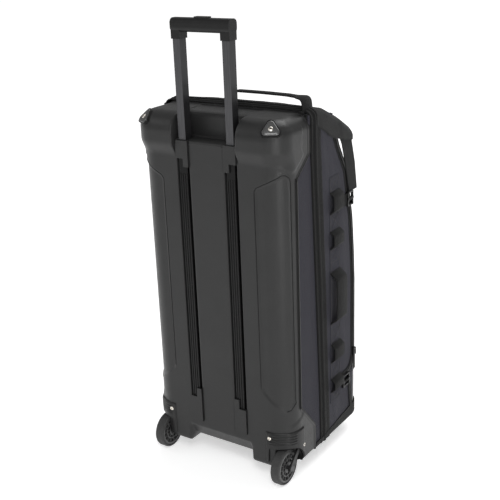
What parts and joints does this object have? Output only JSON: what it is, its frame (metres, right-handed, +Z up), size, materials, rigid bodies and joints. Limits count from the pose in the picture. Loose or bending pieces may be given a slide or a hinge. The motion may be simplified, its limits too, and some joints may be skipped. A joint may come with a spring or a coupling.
{
  "type": "rolling duffel bag",
  "caption": "Upright rolling duffel bag with a moulded back shell, recessed corner wheels, telescopic handle, side webbing loops and a front lid that zips open.",
  "frame": {"origin": "centre of the whole bag's box, on the floor it stands on", "axes": "+Z up, -Y out of the moulded back with the handle and wheels, +Y out of the fabric front, +X to the right seen from behind"},
  "size_m": [0.378, 0.319, 0.9045],
  "materials": {
    "shell_plastic": "fine matt grain",
    "plate_plastic": "matt, ribbed",
    "cap_plastic": "satin",
    "grip_rubber": "soft matt",
    "tube_metal": "black anodised",
    "leg_metal": "dark grey anodised",
    "side_fabric": "heavy woven, grey",
    "gusset_fabric": "heavy woven, grey",
    "black_fabric": "coarse woven, black",
    "tarpaulin": "coated, glossy",
    "webbing": "ribbed webbing",
    "beading": "satin",
    "board": "plain sheet",
    "tread": "matt",
    "wheel_plastic": "satin",
    "steel": "bright",
    "buckle_plastic": "satin",
    "zip_black": "matt"
  },
  "bodies": {
    "bag": {"back_shell": "shell_plastic", "shell_piping": "beading", "edge_tape_left": "webbing", "edge_tape_right": "webbing", "back_gusset_left": "gusset_fabric", "back_gusset_right": "gusset_fabric", "side_panel_left": "side_fabric", "side_panel_right": "side_fabric", "top_panel": "black_fabric", "top_yoke": "black_fabric", "bottom_panel": "black_fabric", "front_border": "tarpaulin", "base_board": "board", "outer_tube_left": "tube_metal", "outer_tube_right": "tube_metal", "tube_collar_left": "cap_plastic", "tube_collar_right": "cap_plastic", "tube_clip_left": "cap_plastic", "tube_clip_right": "cap_plastic", "corner_cap_left": "cap_plastic", "corner_cap_right": "cap_plastic", "corner_screws": "steel", "wheel_housing_left": "plate_plastic", "wheel_housing_right": "plate_plastic", "housing_screws": "steel", "axle_brace_left": "plate_plastic", "axle_brace_right": "plate_plastic", "wheel_axles": "steel", "stand_feet": "plate_plastic", "foot_screws": "steel", "webbing_chain_left": "webbing", "webbing_chain_right": "webbing", "side_handle_left": "webbing", "side_handle_right": "webbing", "corner_straps": "webbing", "strap_buckles": "buckle_plastic", "top_handle": "webbing", "bag_zip_tape": "zip_black"},
    "handle": {"leg_left": "leg_metal", "leg_right": "leg_metal", "grip": "grip_rubber", "leg_plugs": "plate_plastic"},
    "release_button": {"release_button": "buckle_plastic"},
    "lock_pin_left": {"lock_pin_left": "steel"},
    "lock_pin_right": {"lock_pin_right": "steel"},
    "wheel_left": {"wheel_tread_left": "tread", "wheel_hub_left": "wheel_plastic", "wheel_bearings_left": "steel"},
    "wheel_right": {"wheel_tread_right": "tread", "wheel_hub_right": "wheel_plastic", "wheel_bearings_right": "steel"},
    "front_lid": {"lid_panel": "tarpaulin", "lid_gusset": "side_fabric", "lid_zip_tape": "zip_black", "lid_pocket": "tarpaulin"},
    "zip_slider": {"zip_slider": "zip_black"},
    "zip_pull": {"zip_pull": "zip_black"},
    "pocket_zip_slider": {"pocket_zip_slider": "zip_black"}
  },
  "joints": [
    {"name": "handle_slide", "type": "slide", "parent": "bag", "child": "handle", "axis": [0, 0, 1], "range_m": [-0.183, 0.177]},
    {"name": "button_press", "type": "slide", "parent": "handle", "child": "release_button", "axis": [0, 0, 1], "range_m": [-0.003, 0], "stiffness_N_per_m": 1500, "springref_m": 0.001},
    {"name": "pin_left_slide", "type": "slide", "parent": "handle", "child": "lock_pin_left", "axis": [1, 0, 0], "range_m": [-0.003, 0]},
    {"name": "pin_right_slide", "type": "slide", "parent": "handle", "child": "lock_pin_right", "axis": [1, 0, 0], "range_m": [0, 0.003]},
    {"name": "wheel_left_spin", "type": "hinge", "parent": "bag", "child": "wheel_left", "pos_m": [-0.144, -0.1225, 0.037], "axis": [1, 0, 0], "continuous": true},
    {"name": "wheel_right_spin", "type": "hinge", "parent": "bag", "child": "wheel_right", "pos_m": [0.144, -0.1225, 0.037], "axis": [1, 0, 0], "continuous": true},
    {"name": "lid_hinge", "type": "hinge", "parent": "bag", "child": "front_lid", "pos_m": [0, 0.1535, 0.151], "axis": [-1, 0, 0], "range_deg": [0, 100]},
    {"name": "zip_slide", "type": "slide", "parent": "bag", "child": "zip_slider", "axis": [0, 0, 1], "range_m": [0, 0.21]},
    {"name": "zip_pull_hinge", "type": "hinge", "parent": "zip_slider", "child": "zip_pull", "pos_m": [0.17, 0.1285, 0.19], "axis": [0, -1, 0], "range_deg": [0, 110]},
    {"name": "pocket_zip_slide", "type": "slide", "parent": "front_lid", "child": "pocket_zip_slider", "axis": [1, 0, 0], "range_m": [-0.235, 0]}
  ],
  "couplings": [
    {"joint": "pin_left_slide", "follows": "button_press", "ratio": 1},
    {"joint": "pin_right_slide", "follows": "button_press", "ratio": -1}
  ]
}
